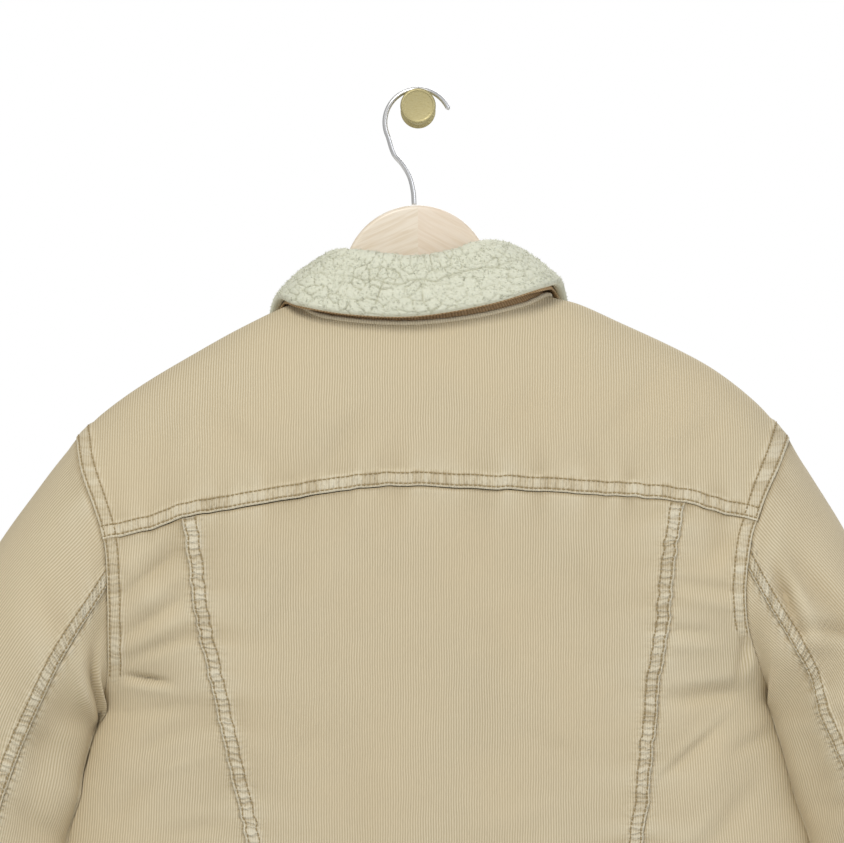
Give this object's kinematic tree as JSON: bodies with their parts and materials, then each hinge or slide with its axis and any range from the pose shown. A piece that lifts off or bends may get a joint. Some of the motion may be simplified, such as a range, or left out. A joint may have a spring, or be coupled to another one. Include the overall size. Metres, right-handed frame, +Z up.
{
  "type": "sherpa lined jacket on a wooden hanger and wall peg",
  "caption": "Short button-front corduroy jacket with a folded sherpa collar, hung on a wooden hanger from a wall peg.",
  "frame": {"origin": "centre of the wall peg's flat back face, where it meets the wall", "axes": "+Y into the wall, +Z up, +X to the right seen from the room; the jacket's back faces the room along -Y"},
  "size_m": [0.9609, 0.1276, 0.8815],
  "materials": {
    "corduroy": "fine 14-wale cotton corduroy, beige",
    "sherpa": "cream polyester sherpa pile",
    "wood": "pale beech, satin lacquer",
    "chrome": "plated round wire",
    "brass": "aged brushed brass",
    "button": "antique brass shank button"
  },
  "bodies": {
    "root": {"back_yoke": "corduroy", "back_centre": "corduroy", "back_side_left": "corduroy", "back_side_right": "corduroy", "front_left": "corduroy", "front_right": "corduroy", "sleeve_top_left": "corduroy", "sleeve_top_right": "corduroy", "sleeve_under_left": "corduroy", "sleeve_under_right": "corduroy", "cuff_left": "corduroy", "cuff_right": "corduroy", "front_placket": "corduroy", "waistband": "corduroy", "collar_under": "corduroy", "collar_upper": "sherpa", "button_1": "button", "button_2": "button", "button_3": "button", "button_4": "button", "button_5": "button", "button_waistband": "button", "button_cuff_left": "button", "button_cuff_right": "button", "hanger_wood": "wood", "hanger_hook": "chrome", "wall_peg": "brass"}
  },
  "joints": []
}
